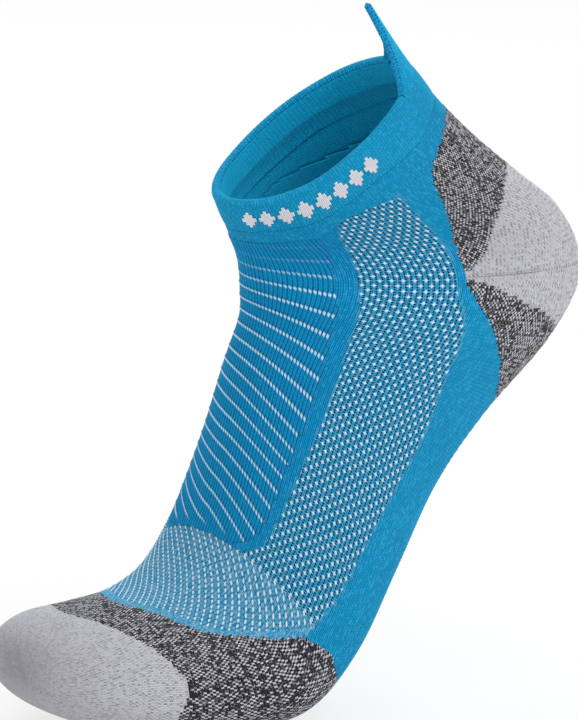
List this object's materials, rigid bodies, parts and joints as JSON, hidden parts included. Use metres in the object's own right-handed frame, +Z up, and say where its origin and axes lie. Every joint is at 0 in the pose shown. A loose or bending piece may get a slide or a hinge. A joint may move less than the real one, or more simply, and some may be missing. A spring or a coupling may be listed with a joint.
{
  "type": "running ankle sock",
  "caption": "Low-cut knitted running sock in its worn, heel-raised shape, with mesh sides, a ribbed instep, marl toe and heel, a turned cuff and a fold-back heel tab.",
  "frame": {"origin": "middle of the ankle opening, where the foot goes in", "axes": "-X towards the toes, +X towards the heel, +Z up, -Y the side of the wearer's left hand"},
  "size_m": [0.2088, 0.0943, 0.2217],
  "materials": {
    "blue_knit": "plain knit, matt",
    "deep_blue_knit": "plain knit, matt",
    "rib_knit": "ribbed knit with pale float courses, matt",
    "mesh_knit": "openwork knit with white tuck stitches, matt",
    "cuff_knit": "dense double knit, matt",
    "dark_marl": "black and pale grey marl knit, matt",
    "light_marl": "pale grey marl knit, matt",
    "white_yarn": "plated white yarn, matt",
    "elastic_yarn": "covered elastic yarn",
    "light_terry": "looped terry, soft",
    "dark_terry": "looped terry, soft",
    "seam_yarn": "linked seam, matt"
  },
  "bodies": {
    "sock": {"toe_pocket": "light_marl", "ball_pad": "dark_marl", "toe_mesh": "mesh_knit", "instep_rib": "rib_knit", "rib_border_near": "deep_blue_knit", "rib_border_far": "deep_blue_knit", "mesh_near": "mesh_knit", "mesh_far": "mesh_knit", "side_plain_near": "blue_knit", "side_plain_far": "blue_knit", "arch_sole": "blue_knit", "heel_under": "dark_marl", "heel_pocket": "light_marl", "achilles_pad": "dark_marl", "ankle_band": "blue_knit", "cuff_outer": "cuff_knit", "cuff_inner": "cuff_knit", "cuff_elastic": "elastic_yarn", "cuff_fold": "cuff_knit", "cuff_motif": "white_yarn", "toe_seam": "seam_yarn", "heel_gore": "seam_yarn", "toe_terry": "light_terry", "ball_terry": "dark_terry", "heel_terry": "light_terry", "achilles_terry": "dark_terry"},
    "tab": {"tab_outer": "blue_knit", "tab_inner": "blue_knit", "tab_edge": "cuff_knit"}
  },
  "joints": [
    {"name": "tab_fold", "type": "hinge", "parent": "sock", "child": "tab", "pos_m": [0.0271, -0.0146, 0.0193], "axis": [0.4749, 0.8389, 0.266], "range_deg": [0, 75], "stiffness_Nm_per_rad": 0.004}
  ]
}
